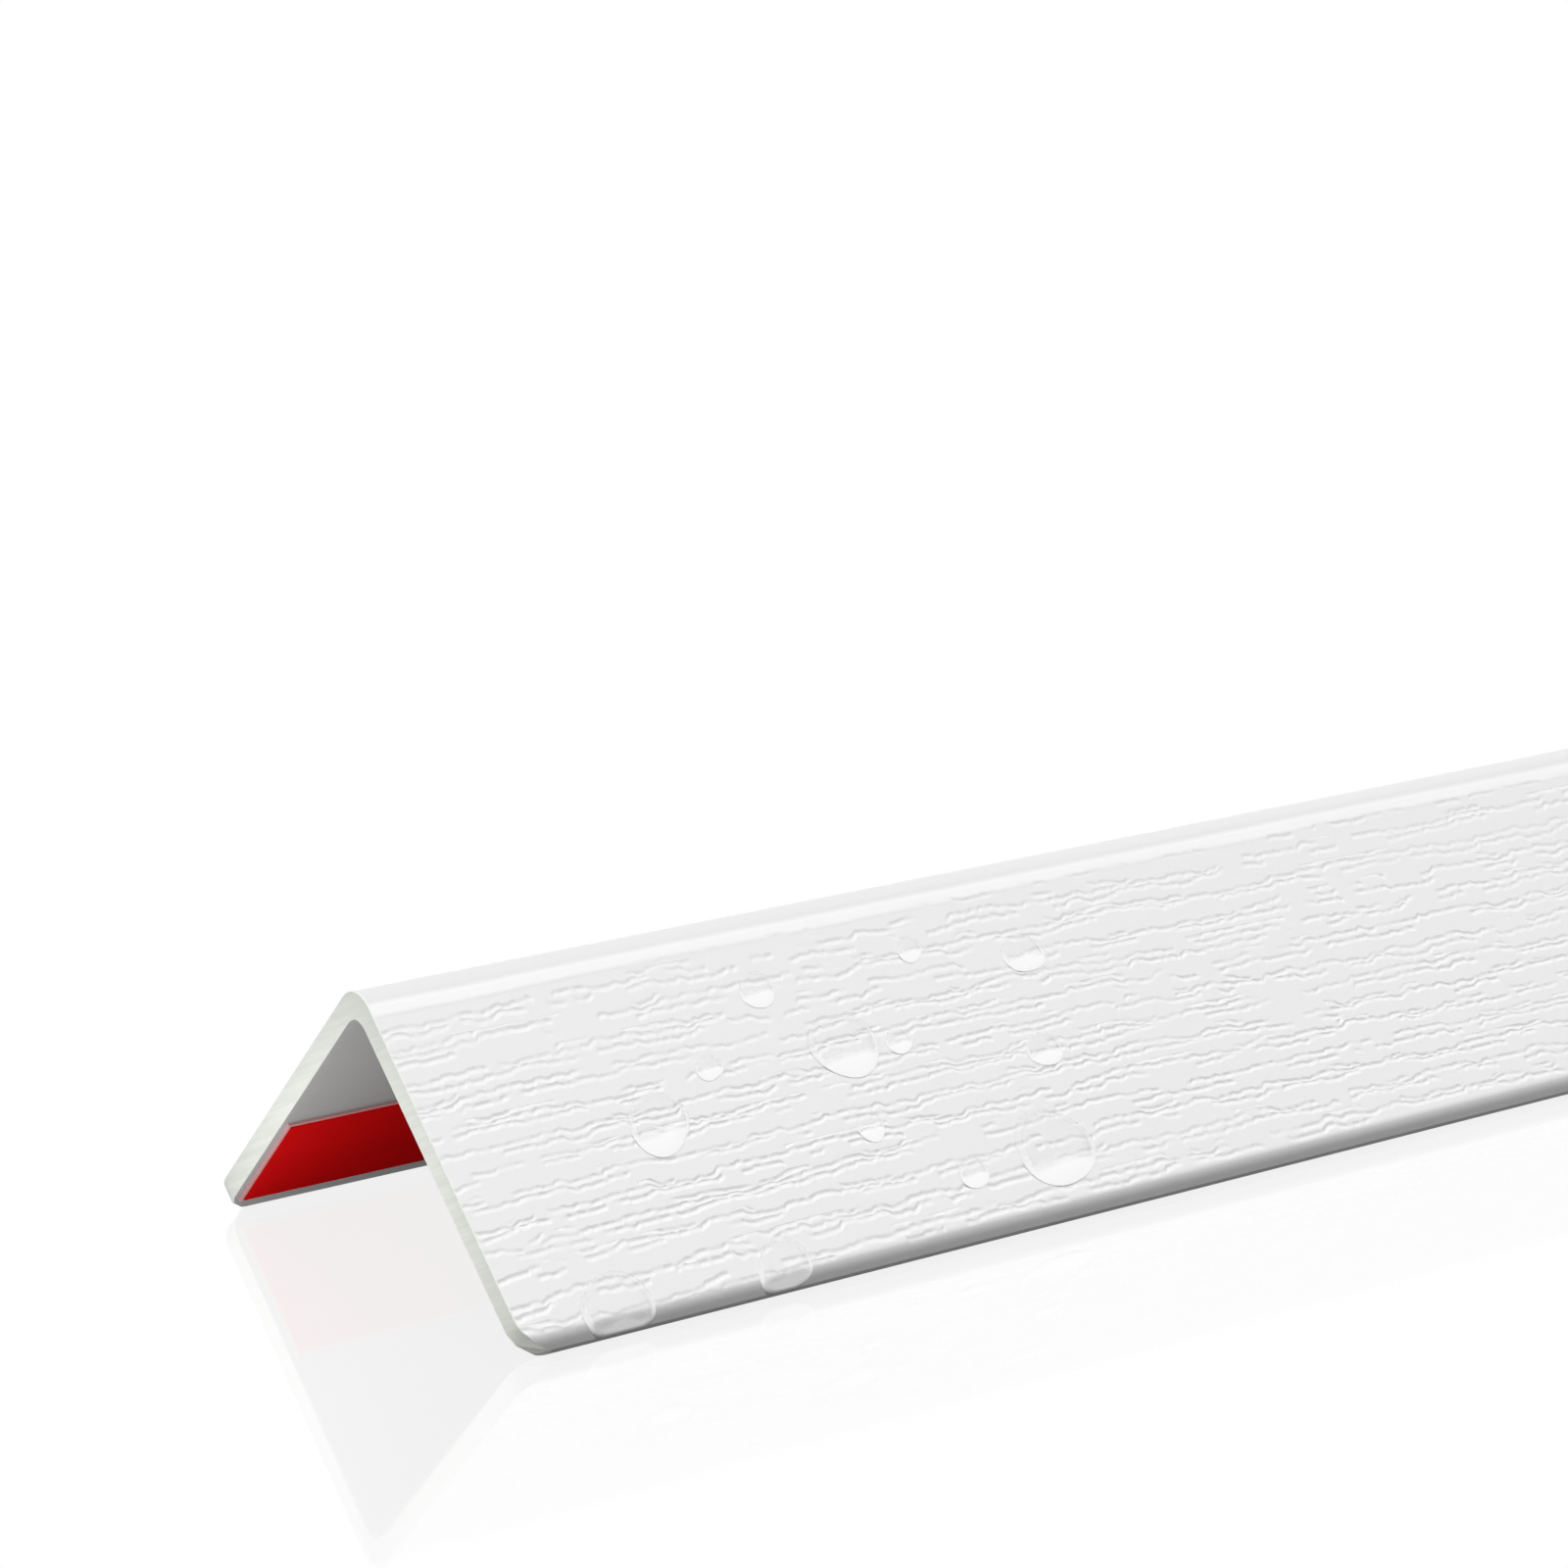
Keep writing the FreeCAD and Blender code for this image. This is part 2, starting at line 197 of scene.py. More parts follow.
def groove_depth(tree, along, across):
    """How deep the grooves are, from 0 to 1, at a place in mm on a leg's outer face.

    Wood grain is drawn as tracks that run along the stock 2 mm apart. Each is a sliver of
    face between grooves, which wanders, wobbles and pinches shut here and there, and each
    groove breaks off in places. A groove has a steep wall above and a slack one below.
    """
    node = partial(add, tree)
    on_leg = node("ShaderNodeMath", across, operation="SIGN")
    drift = uneven(tree, along, across, DRIFT_OVER, DRIFT_ACROSS, layer=1)
    drifted = swayed(tree, across, drift, DRIFT)
    share = node("ShaderNodeMath", drifted, TRACK_PITCH, operation="DIVIDE")
    track = node("ShaderNodeMath", share, operation="FLOOR")
    in_track = node("ShaderNodeMath", share, operation="FRACT")
    from_middle = node("ShaderNodeMath", in_track, 0.5, operation="SUBTRACT")
    from_middle = node("ShaderNodeMath", from_middle, TRACK_PITCH, operation="MULTIPLY")
    key = node("ShaderNodeMath", track, TRACKS_APART, operation="MULTIPLY")
    of_track = partial(uneven, tree, along, key, width=1.0)

    centre = swayed(tree, 0.0, of_track(SWAY_OVER, layer=2), SWAY)
    centre = swayed(tree, centre, of_track(WOBBLE_OVER, layer=3, detail=2.0), WOBBLE)
    step = node("ShaderNodeMapRange", of_track(STEP_OVER, layer=13), 0.46, 0.54, **EASED)
    centre = swayed(tree, centre, step, STEP)
    gap = node("ShaderNodeMapRange", of_track(GAP_OVER, layer=4, detail=1.0), 0.36, 0.56,
               GAP_LEAST, GAP_MOST, **EASED)

    depth = None
    for side, layer, broken_below in GROOVES:
        line = node("ShaderNodeMath", gap, side, centre, operation="MULTIPLY_ADD")
        nick = node("ShaderNodeMapRange", of_track(NICK_OVER, layer=layer + 1), 0.42, 0.58,
                    **EASED)
        line = swayed(tree, line, nick, NICK)
        above = node("ShaderNodeMath", from_middle, line, operation="SUBTRACT")
        below = node("ShaderNodeMath", above, on_leg, operation="MULTIPLY")
        steep = node("ShaderNodeMapRange", below, -GROOVE_ABOVE, 0.0, **EASED)
        slack = node("ShaderNodeMapRange", below, 0.0, GROOVE_BELOW, 1.0, 0.0, **EASED)
        groove = node("ShaderNodeMath", steep, slack, operation="MULTIPLY")
        unbroken = node("ShaderNodeMapRange", of_track(BREAK_OVER, layer=layer, detail=1.0),
                        broken_below, broken_below + 0.05, **EASED)
        beaded = node("ShaderNodeMapRange", of_track(BEAD_OVER, layer=layer + 20),
                      0.3, 0.6, 0.45, 1.0, **EASED)
        for part in (unbroken, beaded):
            groove = node("ShaderNodeMath", groove, part, operation="MULTIPLY")
        depth = groove if depth is None else node("ShaderNodeMath", depth, groove,
                                                  operation="MAXIMUM")
    return depth


def grain_depth(tree, along, across):
    """How deep the embossing is, from 0 to 1, at a place in mm on a leg's outer face."""
    node = partial(add, tree)
    depth = groove_depth(tree, along, across)

    # The roller wears, and doesn't print on the bend over the ridge or on the edge roll.
    out = node("ShaderNodeMath", across, operation="ABSOLUTE")
    roll_start = LEG_WIDTH - EDGE_ROLL
    worn = uneven(tree, along, across, WEAR_OVER, WEAR_ACROSS, layer=11, detail=1.0)
    worn = node("ShaderNodeMapRange", worn, 0.3, 0.6, 0.6, 1.0, **EASED)
    off_ridge = node("ShaderNodeMapRange", out, BORDER - 0.2, BORDER + 0.6, **EASED)
    fuller = node("ShaderNodeMapRange", out, BORDER, 0.7 * LEG_WIDTH, 0.75, 1.0, **EASED)
    off_roll = node("ShaderNodeMapRange", out, roll_start - 0.1, roll_start + 0.6, 1.0, 0.0,
                    **EASED)
    for part in (worn, off_ridge, fuller, off_roll, 1.0 - FIELD_SHARE):
        depth = node("ShaderNodeMath", depth, part, operation="MULTIPLY")

    # It rolls the ridge's crown and the face down a little, up to a low line between them.
    border = uneven(tree, along, 0.0, BORDER_OVER, 1.0, layer=15, detail=2.0)
    border = swayed(tree, out, border, BORDER_SWAY)
    crown = node("ShaderNodeMapRange", border, BORDER - BORDER_WIDTH, BORDER - BORDER_WIDTH / 2,
                 CROWN_SHARE, 0.0, **EASED)
    field = node("ShaderNodeMapRange", border, BORDER, BORDER + 0.4, 0.0, FIELD_SHARE, **EASED)
    field = node("ShaderNodeMath", field, off_roll, operation="MULTIPLY")
    for part in (crown, field):
        depth = node("ShaderNodeMath", depth, part, operation="ADD")
    return depth


def polyline(tree, corners, cyclic):
    """A curve of straight stretches through corners, which are vectors or wires."""
    index = add(tree, "GeometryNodeInputIndex")
    corner = add(tree, "GeometryNodeIndexSwitch", index, *corners, data_type="VECTOR",
                 index_switch_items=[()] * (len(corners) - 2))
    points = add(tree, "GeometryNodePoints", len(corners), corner)
    curve = add(tree, "GeometryNodePointsToCurves", points)
    return add(tree, "GeometryNodeSetSplineCyclic", curve, True, cyclic)


def angle_section(tree, given):
    """The angle's outline, and at each of its points the place and the way that it runs.

    The sharp outer corner is at zero. The taped leg runs along X and the bare leg down Y,
    as in the drawing that the angle is extruded from.
    """
    node = partial(add, tree)
    leg, wall = given["Leg width"], given["Wall"]
    leg_down = node("ShaderNodeMath", leg, -1.0, operation="MULTIPLY")
    wall_down = node("ShaderNodeMath", wall, -1.0, operation="MULTIPLY")
    corners = ((0.0, 0.0), (leg, 0.0), (leg, wall_down), (wall, wall_down),
               (wall, leg_down), (0.0, leg_down))
    outline = polyline(tree, [node("ShaderNodeCombineXYZ", *place) for place in corners], True)
    radius = node("GeometryNodeIndexSwitch", node("GeometryNodeInputIndex"),
                  given["Ridge radius"], given["Edge roll"], given["Edge break"],
                  given["Hollow radius"], given["Edge break"], given["Edge roll"],
                  data_type="FLOAT", index_switch_items=[()] * 4)
    rounded = node("GeometryNodeFilletCurve", outline, mode="POLY", Count=BEND_STEPS,
                   Limit_Radius=True, Radius=radius)

    # Each corner now has one point more than its steps, and a face starts at the last.
    index = node("GeometryNodeInputIndex")
    of_corner = node("ShaderNodeMath", index, BEND_STEPS + 1.0, operation="DIVIDE")
    of_corner = node("ShaderNodeMath", of_corner, operation="FLOOR")
    step = node("ShaderNodeMath", index, BEND_STEPS + 1.0, operation="FLOORED_MODULO")
    last = node("ShaderNodeMath", step, BEND_STEPS, 0.1, operation="COMPARE")
    columns = node("GeometryNodeIndexSwitch", of_corner, TAPED_COLUMNS, 2, INNER_COLUMNS,
                   INNER_COLUMNS, 2, BARE_COLUMNS, data_type="FLOAT",
                   index_switch_items=[()] * 4)
    cuts = node("ShaderNodeMath", columns, last, operation="MULTIPLY")
    divided = node("GeometryNodeSubdivideCurve", rounded, cuts)
    return node("GeometryNodeCaptureAttribute", divided, node("GeometryNodeInputPosition"),
                node("GeometryNodeInputTangent"),
                capture_items=[("VECTOR", "Section"), ("VECTOR", "Tangent")])


def stations(tree, given):
    """The line along the stock, divided finely at the end that is seen from close by."""
    node = partial(add, tree)
    half, rim = given["Half length"], given["Rim"]
    start = node("ShaderNodeMath", half, -1.0, operation="MULTIPLY")
    places = (start,
              node("ShaderNodeMath", start, rim, operation="ADD"),
              node("ShaderNodeMath", start, given["Near length"], operation="ADD"),
              node("ShaderNodeMath", half, rim, operation="SUBTRACT"),
              half)
    path = polyline(tree, [node("ShaderNodeCombineXYZ", x) for x in places], False)
    rows = node("GeometryNodeIndexSwitch", node("GeometryNodeInputIndex"), RIM_ROWS,
                NEAR_ROWS, FAR_ROWS, RIM_ROWS, 0, data_type="FLOAT",
                index_switch_items=[()] * 3)
    divided = node("GeometryNodeSubdivideCurve", path, rows)
    return node("GeometryNodeCaptureAttribute", divided, node("GeometryNodeInputPosition"),
                capture_items=[("VECTOR", "Station")])


def quarter_arc(tree, radius, into):
    """How far a quarter round of that radius has drawn in, at a depth into it."""
    node = partial(add, tree)
    into = node("ShaderNodeMath", into, 0.0, operation="MAXIMUM")
    into = node("ShaderNodeMath", into, radius, operation="MINIMUM")
    squared = node("ShaderNodeMath", into, into, operation="MULTIPLY")
    left = node("ShaderNodeMath", radius, radius, operation="MULTIPLY")
    left = node("ShaderNodeMath", left, squared, operation="SUBTRACT")
    left = node("ShaderNodeMath", left, 0.0, operation="MAXIMUM")
    left = node("ShaderNodeMath", left, operation="SQRT")
    return node("ShaderNodeMath", radius, left, operation="SUBTRACT")


def punched(tree, given, along, down_leg):
    """The place along the stock, once the punch has rounded the corners of the legs.

    Each line of points along the stock is shortened by its own distance down the leg.
    """
    node = partial(add, tree)
    half, punch = given["Half length"], given["Punch radius"]
    into_corner = node("ShaderNodeMath", down_leg, given["Leg width"], operation="SUBTRACT")
    into_corner = node("ShaderNodeMath", into_corner, punch, operation="ADD")
    short = quarter_arc(tree, punch, into_corner)
    reach = node("ShaderNodeMath", short, half, operation="DIVIDE")
    reach = node("ShaderNodeMath", 1.0, reach, operation="SUBTRACT")
    return node("ShaderNodeMath", along, reach, operation="MULTIPLY")


def embossed(tree, given, place, under_skin, to_end, from_start):
    """How far the roller presses the skin in: on the outer faces alone, off the cut ends."""
    node = partial(add, tree)
    near = given["Near length"]
    on_outside = node("ShaderNodeMath", under_skin, EMBOSSED_TO, operation="LESS_THAN")
    spared = node("ShaderNodeMapRange", to_end, *SPARED_END, **EASED)
    fading = node("ShaderNodeMath", near, FADE_LENGTH, operation="SUBTRACT")
    faded = node("ShaderNodeMapRange", from_start, fading, near, 1.0, 0.0, **EASED)
    pressed = grain_depth(tree, *place)
    for part in (given["Grain depth"], on_outside, spared, faded):
        pressed = node("ShaderNodeMath", pressed, part, operation="MULTIPLY")
    return pressed


def stood_up(tree, given, x, at, heading, inset):
    """A point's place in metres, inset from the section, with the angle on its free edges.

    The section is followed clockwise, so its inward side is on the right of its heading.
    """
    node = partial(add, tree)
    outset = node("ShaderNodeMath", inset, -1.0, operation="MULTIPLY")
    a = node("ShaderNodeMath", heading["Y"], inset, at["X"], operation="MULTIPLY_ADD")
    b = node("ShaderNodeMath", heading["X"], outset, at["Y"], operation="MULTIPLY_ADD")
    y = node("ShaderNodeMath", a, b, operation="ADD")
    y = node("ShaderNodeMath", y, ROOT2, operation="DIVIDE")
    below = node("ShaderNodeMath", a, b, operation="SUBTRACT")
    below = node("ShaderNodeMath", below, ROOT2, operation="DIVIDE")
    z = node("ShaderNodeMath", given["Apex height"], below, operation="SUBTRACT")
    where = node("ShaderNodeCombineXYZ", x, y, z)
    return node("ShaderNodeVectorMath", where, Scale=MM, operation="SCALE")


def marked(tree, shaped, across, heading):
    """Marks the skin with what its finish reads: the place across it and its plain normal."""
    node = partial(add, tree)
    facing_y = node("ShaderNodeMath", heading["X"], heading["Y"], operation="SUBTRACT")
    facing_z = node("ShaderNodeMath", heading["X"], heading["Y"], operation="ADD")
    outward = node("ShaderNodeCombineXYZ", 0.0, facing_y, facing_z)
    outward = node("ShaderNodeVectorMath", outward, operation="NORMALIZE")
    shaped = node("GeometryNodeStoreNamedAttribute", shaped, Name="across", Value=across,
                  data_type="FLOAT", domain="POINT")
    return node("GeometryNodeStoreNamedAttribute", shaped, Name="plain_normal",
                Value=outward, data_type="FLOAT_VECTOR", domain="POINT")


def guard_tree(skin, inside, core):
    """The Geometry Nodes that extrude, punch and emboss the angle, and the sizes they take."""
    tree = bpy.data.node_groups.new("Embossed angle", "GeometryNodeTree")
    node = partial(add, tree)
    sizes = {
        "Leg width": LEG_WIDTH, "Wall": WALL, "Ridge radius": RIDGE_RADIUS,
        "Hollow radius": HOLLOW_RADIUS, "Edge roll": EDGE_ROLL, "Edge break": EDGE_BREAK,
        "Punch radius": PUNCH_RADIUS, "Half length": HALF_LENGTH, "Apex height": APEX_HEIGHT,
        "Near length": NEAR_LENGTH, "Rim": RIM, "Grain depth": GRAIN_DEPTH,
    }
    for name in sizes:
        tree.interface.new_socket(name=name, in_out="INPUT", socket_type="NodeSocketFloat")
    tree.interface.new_socket(name="Guard", in_out="OUTPUT", socket_type="NodeSocketGeometry")
    given = node("NodeGroupInput").outputs
    half, rim = given["Half length"], given["Rim"]

    section = angle_section(tree, given)
    path = stations(tree, given)
    swept = node("GeometryNodeCurveToMesh", path, section, Fill_Caps=True)
    corners = node("GeometryNodeInputMeshFaceNeighbors").outputs["Vertex Count"]
    many = node("FunctionNodeCompare", corners, 4, data_type="INT", operation="GREATER_THAN")
    meshed = node("GeometryNodeTriangulate", swept, many)

    # Where a point is: along the stock, across its skin and down the legs
    at = node("ShaderNodeSeparateXYZ", section.outputs["Section"]).outputs
    heading = node("ShaderNodeSeparateXYZ", section.outputs["Tangent"]).outputs
    along = node("ShaderNodeSeparateXYZ", path.outputs["Station"]).outputs["X"]
    along_out = node("ShaderNodeMath", along, operation="ABSOLUTE")
    to_end = node("ShaderNodeMath", half, along_out, operation="SUBTRACT")
    from_start = node("ShaderNodeMath", along, half, operation="ADD")
    bare_down = node("ShaderNodeMath", at["Y"], -1.0, operation="MULTIPLY")
    down_leg = node("ShaderNodeMath", at["X"], bare_down, operation="MAXIMUM")
    under_skin = node("ShaderNodeMath", at["X"], bare_down, operation="MINIMUM")
    across = node("ShaderNodeMath", at["X"], at["Y"], operation="ADD")

    # The punch, the arris that the saw leaves at the end, and the roller
    x = punched(tree, given, along, down_leg)
    into_rim = node("ShaderNodeMath", rim, to_end, operation="SUBTRACT")
    drawn = quarter_arc(tree, rim, into_rim)
    pressed = embossed(tree, given, (x, across), under_skin, to_end, from_start)
    inset = node("ShaderNodeMath", drawn, pressed, operation="ADD")
    inset = node("ShaderNodeMath", inset, SKIN_IN, operation="ADD")
    where = stood_up(tree, given, x, at, heading, inset)
    shaped = node("GeometryNodeSetPosition", meshed, Position=where)
    shaped = node("GeometryNodeFlipFaces", shaped)

    # The skin's finish goes round the edges for part of the wall, and the core's on the ends.
    shaped = marked(tree, shaped, across, heading)
    whole = node("GeometryNodeRealizeInstances", shaped)
    skin_ends = node("ShaderNodeMath", given["Wall"], 0.6, operation="MULTIPLY")
    near_skin = node("ShaderNodeMath", under_skin, skin_ends, operation="LESS_THAN")
    end_starts = node("ShaderNodeMath", rim, 0.9, operation="MULTIPLY")
    on_end = node("ShaderNodeMath", to_end, end_starts, operation="LESS_THAN")
    faces = node("GeometryNodeSetMaterial", whole, Material=inside)
    faces = node("GeometryNodeSetMaterial", faces, near_skin, Material=skin)
    faces = node("GeometryNodeSetMaterial", faces, on_end, Material=core)
    node("NodeGroupOutput", faces)
    return tree, sizes


def made_by(name, tree, sizes):
    """Runs a tree once on an empty mesh, and keeps the result as a plain mesh object."""
    holder = bpy.data.objects.new("holder", bpy.data.meshes.new("holder"))
    bpy.context.scene.collection.objects.link(holder)
    maker = holder.modifiers.new("maker", "NODES")
    maker.node_group = tree
    for item in tree.interface.items_tree:
        if item.in_out == "INPUT":
            maker[item.identifier] = sizes[item.name]
    evaluated = holder.evaluated_get(bpy.context.evaluated_depsgraph_get())
    mesh = bpy.data.meshes.new_from_object(evaluated)
    mesh.name = name
    bpy.data.objects.remove(holder)
    piece = bpy.data.objects.new(name, mesh)
    bpy.context.scene.collection.objects.link(piece)
    return piece


def new_material(name):
    """A node material with nothing in it, and its tree."""
    material = bpy.data.materials.new(name)
    material.use_nodes = True
    material.node_tree.nodes.clear()
    return material, material.node_tree


def in_mm(tree):
    """The place on a piece in mm."""
    place = add(tree, "ShaderNodeTexCoord").outputs["Object"]
    return add(tree, "ShaderNodeVectorMath", place, Scale=1 / MM, operation="SCALE")


def fine_relief(tree, place, sizes, depth, detail=2.0, under=None):
    """A random pattern of those sizes in mm along X, Y and Z, and its bump on the finish."""
    shrunk = add(tree, "ShaderNodeVectorMath", place, [1 / size for size in sizes],
                 operation="MULTIPLY")
    pattern = add(tree, "ShaderNodeTexNoise", shrunk, Scale=1.0, Detail=detail)
    return pattern, add(tree, "ShaderNodeBump", Strength=1.0, Distance=depth * MM,
                        Height=pattern, Normal=under)


def embossed_pvc():
    """Rigid PVC, extruded and run under a grained roller while it is warm.

    The skin is opaque white with a satin sheen. Each groove shows as a soft dark line over
    a bright one, with the plain skin between them, which has a very fine matt grit. The line
    that the roller leaves standing is painted whiter than the pressed face, as a painted
    highlight, and the pressed face is painted greyer, as painted shade in its fine relief. The
    ridge's crown and the front of the edge roll, where they turn from the lamps, are painted
    greyer: painted shade.
    """
    material, tree = new_material("embossed_white_PVC")
    node = partial(add, tree)
    place = in_mm(tree)
    along = node("ShaderNodeSeparateXYZ", place).outputs["X"]
    across = node("ShaderNodeAttribute", attribute_name="across").outputs["Fac"]
    plain = node("ShaderNodeAttribute", attribute_name="plain_normal").outputs["Vector"]
    depth = grain_depth(tree, along, across)
    height = node("ShaderNodeMath", 1.0, depth, operation="SUBTRACT")
    relief = node("ShaderNodeBump", Strength=1.0, Distance=GRAIN_DEPTH * MM,
                  Height=height, Normal=plain)
    _, relief = fine_relief(tree, place, (0.7, 0.7, 0.7), 0.012, under=relief)
    # Painted highlight and shade: the line left standing is painted whiter (#FCFCFC) than the
    # pressed face (#F0F0F0), which stands in for the shade in its fine relief.
    pressed = node("ShaderNodeMapRange", depth, 0.0, FIELD_SHARE)
    colour = node("ShaderNodeMix", pressed, data_type="RGBA",
                  A=linear("#FCFCFC"), B=linear("#F0F0F0"))
    # Painted shade: the ridge's crown and the front of the edge roll, where they turn from the
    # lamps, are painted greyer (#D8D8D8), less so on the roll's underside.
    out = node("ShaderNodeMath", across, operation="ABSOLUTE")
    crown = node("ShaderNodeMapRange", out, BORDER - BORDER_WIDTH, BORDER - BORDER_WIDTH / 2,
                 0.6, 0.0)
    facing_up = node("ShaderNodeSeparateXYZ", plain).outputs["Z"]
    roll = node("ShaderNodeMapRange", facing_up, 0.68, 0.45)
    underside = node("ShaderNodeMapRange", facing_up, -0.6, -0.05)
    roll = node("ShaderNodeMath", roll, underside, operation="MULTIPLY")
    painted_shade = node("ShaderNodeMath", crown, roll, operation="MAXIMUM")
    colour = node("ShaderNodeMix", painted_shade, data_type="RGBA",
                  A=colour.outputs["Result"], B=linear("#D8D8D8"))
    rough = node("ShaderNodeMapRange", depth, 0.0, 1.0, 0.42, 0.55)
    shader = node("ShaderNodeBsdfPrincipled", Base_Color=colour.outputs["Result"],
                  Roughness=rough, IOR=1.53, Normal=relief)
    node("ShaderNodeOutputMaterial", shader)
    return material


def smooth_pvc():
    """The angle's inner side: the same PVC as it leaves the die.

    It is smooth, with faint lines along the stock that the die has drawn in it. Its colour
    is painted greyer than the skin's, as painted shade for the hollow under the angle.
    """
    material, tree = new_material("smooth_white_PVC")
    node = partial(add, tree)
    lines, relief = fine_relief(tree, in_mm(tree), (300, 0.7, 0.7), 0.02)
    rough = node("ShaderNodeMapRange", lines, 0.3, 0.7, 0.36, 0.46)
    # Painted shade: the base colour is greyer than the skin's to darken the hollow under the
    # angle.
    shader = node("ShaderNodeBsdfPrincipled", Base_Color=linear("#C0C0BF"),
                  Roughness=rough, IOR=1.53, Specular_IOR_Level=0.1, Normal=relief)
    node("ShaderNodeOutputMaterial", shader)
    return material


def cut_end(tree):
    """1 on the faces that look along the stock, where it was cut off, and 0 on those across."""
    normal = add(tree, "ShaderNodeNewGeometry").outputs["Normal"]
    facing = add(tree, "ShaderNodeSeparateXYZ", normal).outputs["X"]
    return add(tree, "ShaderNodeMath", facing, operation="ABSOLUTE")


def cut_pvc():
    """The sawn and punched edge of the PVC, without its skin.

    It is matt and a little greener than the skin, with the saw's fine slanting marks. Where
    the cut faces turn away from the stock's length, at the punched, rounded corners and the
    rubbed arris, they turn from the lamps and are painted whiter: painted light.
    """
    material, tree = new_material("cut_PVC_core")
    node = partial(add, tree)
    slanted = node("ShaderNodeVectorRotate", in_mm(tree), rotation_type="X_AXIS",
                   Angle=math.radians(25))
    marks, relief = fine_relief(tree, slanted, (0.8, 9, 0.35), 0.015)
    shade = node("ShaderNodeMapRange", marks, 0.35, 0.65)
    colour = node("ShaderNodeMix", shade, data_type="RGBA",
                  A=linear("#C6C8C2"), B=linear("#CED0CA"))
    # Painted light: where the cut face stops facing along the stock, at the punched corners and
    # the arris, it is painted whiter (#F4F6F0).
    sawn = node("ShaderNodeMapRange", cut_end(tree), 0.4, 0.9)
    colour = node("ShaderNodeMix", sawn, data_type="RGBA",
                  A=linear("#F4F6F0"), B=colour.outputs["Result"])
    shader = node("ShaderNodeBsdfPrincipled", Base_Color=colour.outputs["Result"],
                  Roughness=0.6, IOR=1.53, Normal=relief)
    node("ShaderNodeOutputMaterial", shader)
    return material


def acrylic_adhesive():
    """Acrylic adhesive, cast in a thin milky layer.

    Only its rim shows round the film, pale and pink with the red that shines through it. Its
    cut end, which faces the small lamp before the open end, is painted darker: painted shade.
    """
    material, tree = new_material("cast_acrylic_adhesive")
    node = partial(add, tree)
    _, relief = fine_relief(tree, in_mm(tree), (0.6, 0.6, 0.6), 0.02, detail=1.0)
    # Painted shade: the end faces are painted darker (#B48488) to offset the lamp before the
    # open end.
    colour = node("ShaderNodeMix", cut_end(tree), data_type="RGBA",
                  A=linear("#E6B0B0"), B=linear("#B48488"))
    shader = node("ShaderNodeBsdfPrincipled", Base_Color=colour.outputs["Result"],
                  Roughness=0.4, IOR=1.47, Normal=relief)
    node("ShaderNodeOutputMaterial", shader)
    return material


def release_film():
    """Drawn polyester film, dyed through and siliconed on the side of the adhesive.

    It is a deep, even red with hardly any shine. Where it hugs the adhesive it is slightly
    uneven, in patches that are longer along the stock than across. The shears have crushed
    its ends, which are darker.
    """
    material, tree = new_material("red_polyester_film")
    node = partial(add, tree)
    hug, relief = fine_relief(tree, in_mm(tree), (14, 3, 3), 0.05)
    shade = node("ShaderNodeMapRange", hug, 0.3, 0.7)
    colour = node("ShaderNodeMix", shade, data_type="RGBA",
                  A=linear("#F01416"), B=linear("#FA1619"))
    colour = node("ShaderNodeMix", cut_end(tree), data_type="RGBA",
                  A=colour.outputs["Result"], B=linear("#9C1214"))
    shader = node("ShaderNodeBsdfPrincipled", Base_Color=colour.outputs["Result"],
                  Roughness=0.35, Specular_IOR_Level=0.0, Normal=relief)
    node("ShaderNodeOutputMaterial", shader)
    return material


def still_water():
    """Clean water in flat drops: clear, with a thin bright rim.

    A drop gathers the light from above on its lower side; there it is painted opaque white,
    as painted light. Its thin rim is a painted highlight, brighter lower down, and the whole
    drop has a faint painted glow. The mesh says how near its rim each place is, and how far
    down. The painted white is lit as the leg's flat face is.
    """
    material, tree = new_material("clear_water")
    node = partial(add, tree)
    to_rim, down = (node("ShaderNodeAttribute", attribute_name=name).outputs["Fac"]
                    for name in ("to_rim", "down"))
    rim = node("ShaderNodeMapRange", to_rim, 0.76, 0.92, **EASED)
    lit = node("ShaderNodeMapRange", down, -0.9, 0.4, 0.25, 0.9, **EASED)
    rim = node("ShaderNodeMath", rim, lit, operation="MULTIPLY")
    gathered = node("ShaderNodeMapRange", down, -0.1, 0.3, 0.04, 0.95, **EASED)
    painted_white = node("ShaderNodeMath", rim, gathered, operation="MAXIMUM")
    # Painted light: alpha shows opaque white at the rim and lower side, lit along a fixed
    # normal, and an emission of 0.06 makes the drop glow faintly.
    face_normal = node("ShaderNodeCombineXYZ", 0.0, -1 / ROOT2, 1 / ROOT2)
    shader = node("ShaderNodeBsdfPrincipled", Base_Color=linear("#FFFFFF"),
                  Roughness=0.1, IOR=1.333, Alpha=painted_white, Normal=face_normal,
                  Emission_Color=linear("#FFFFFF"), Emission_Strength=0.06)
    node("ShaderNodeOutputMaterial", shader)
    return material


def down_the_face(down, from_end):
    """A place on the bare leg's outer face and its normal, that far down from the ridge.

    Past the flat face it follows the roll of the free edge.
    """
    turn = max(0.0, down - (LEG_WIDTH - EDGE_ROLL)) / EDGE_ROLL
    flat = min(down, LEG_WIDTH - EDGE_ROLL)
    across = flat + EDGE_ROLL * math.sin(turn)
    inward = EDGE_ROLL * (1 - math.cos(turn))
    place = Vector((from_end - HALF_LENGTH, (inward - across) / ROOT2,
                    APEX_HEIGHT - (across + inward) / ROOT2))
    slope = math.radians(45) - turn
    return place, Vector((0.0, -math.cos(slope), math.sin(slope)))


